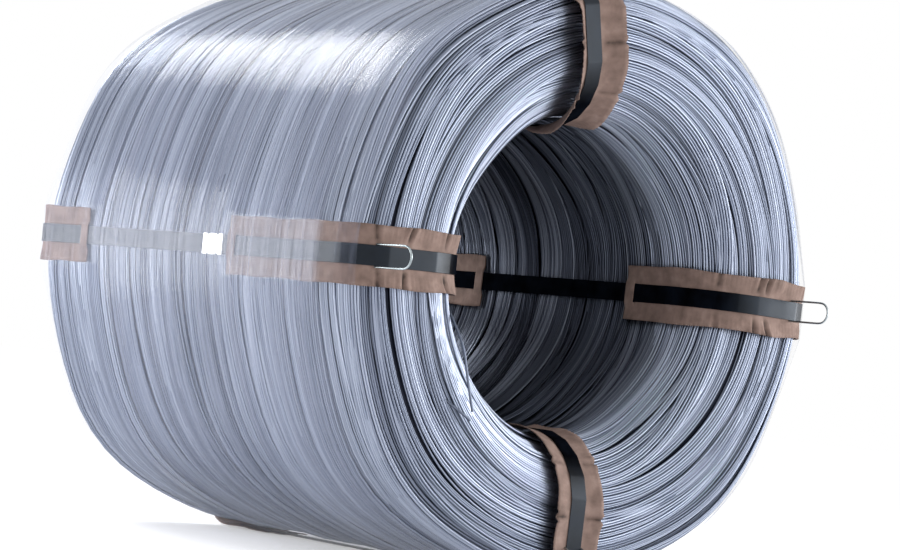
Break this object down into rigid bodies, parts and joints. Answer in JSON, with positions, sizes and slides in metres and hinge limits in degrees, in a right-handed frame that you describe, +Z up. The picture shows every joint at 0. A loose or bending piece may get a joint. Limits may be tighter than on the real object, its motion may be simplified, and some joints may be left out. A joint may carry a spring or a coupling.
{
  "type": "coil of galvanised steel wire",
  "caption": "Large coil of galvanised steel wire lying on its side, with flat straps over slotted paper pads, crimped seals, wire hoops and clear stretch film.",
  "frame": {"origin": "on the floor, under the middle of the bounding box", "axes": "+Y along the coil's axis, away from the end with the hoops; +Z up"},
  "size_m": [0.8135, 0.8493, 0.8088],
  "materials": {
    "galvanised_wire": "bright drawn, zinc coated",
    "black_strap": "glossy black lacquer",
    "zinc_seal": "bright zinc",
    "kraft_paper": "matte creped kraft paper",
    "hoop_wire": "dull galvanised",
    "clear_film": "clear glossy stretch film"
  },
  "bodies": {
    "root": {"wire_coil": "galvanised_wire", "strap_right": "black_strap", "strap_top": "black_strap", "strap_left": "black_strap", "strap_bottom": "black_strap", "seal_right": "zinc_seal", "seal_top": "zinc_seal", "seal_left": "zinc_seal", "seal_bottom": "zinc_seal", "pad_front_right": "kraft_paper", "pad_front_top": "kraft_paper", "pad_front_left": "kraft_paper", "pad_front_bottom": "kraft_paper", "pad_back_right": "kraft_paper", "pad_back_top": "kraft_paper", "pad_back_left": "kraft_paper", "pad_back_bottom": "kraft_paper", "wire_hoop_right": "hoop_wire", "wire_hoop_left": "hoop_wire", "wire_hoop_bottom": "hoop_wire", "stretch_film": "clear_film"}
  },
  "joints": []
}
